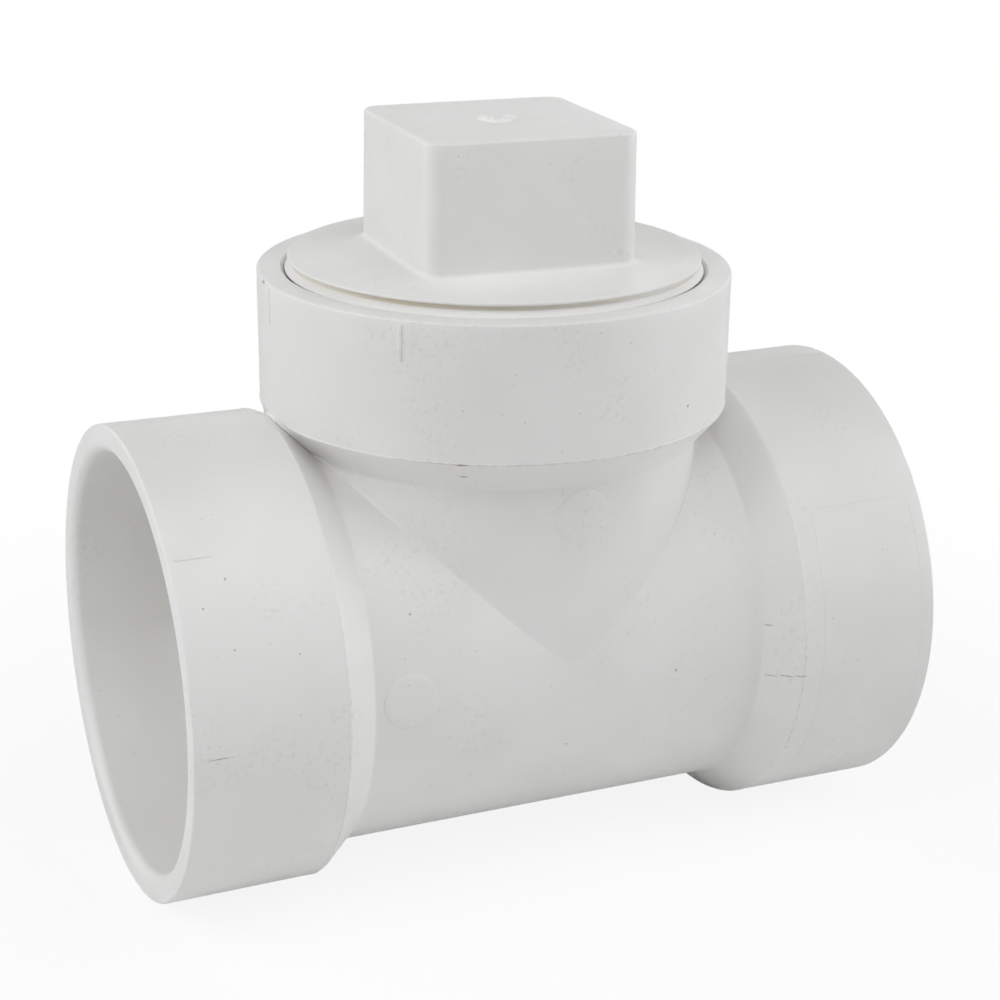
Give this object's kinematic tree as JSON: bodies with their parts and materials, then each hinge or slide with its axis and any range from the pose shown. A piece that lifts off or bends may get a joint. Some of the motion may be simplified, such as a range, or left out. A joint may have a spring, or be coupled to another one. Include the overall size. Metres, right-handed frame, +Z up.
{
  "type": "cleanout tee",
  "caption": "Straight drain tee with a solvent-weld socket at each end of its run and a threaded branch closed by a screw-in plug with a square wrench head.",
  "frame": {"origin": "the point where the run's axis and the branch's axis cross", "axes": "+X along the run to the right-hand socket, +Z up the branch's axis out of the cleanout, -Y towards the side seen in the picture"},
  "size_m": [0.1142, 0.0688, 0.11],
  "materials": {
    "tee_pvc": "injection-moulded white PVC, satin",
    "plug_pvc": "injection-moulded white PVC, satin"
  },
  "bodies": {
    "tee": {"tee_body": "tee_pvc"},
    "plug_carrier": {"plug_gate_mark": "plug_pvc"},
    "plug": {"cleanout_plug": "plug_pvc"}
  },
  "joints": [
    {"name": "plug_lift", "type": "slide", "parent": "tee", "child": "plug_carrier", "axis": [0, 0, 1], "range_m": [0, 0.0164]},
    {"name": "plug_turn", "type": "hinge", "parent": "plug_carrier", "child": "plug", "pos_m": [0, 0, 0.065], "axis": [0, 0, 1], "range_deg": [0, 2670]}
  ],
  "couplings": [
    {"joint": "plug_lift", "follows": "plug_turn", "m_per_rad": 0.00035153}
  ]
}
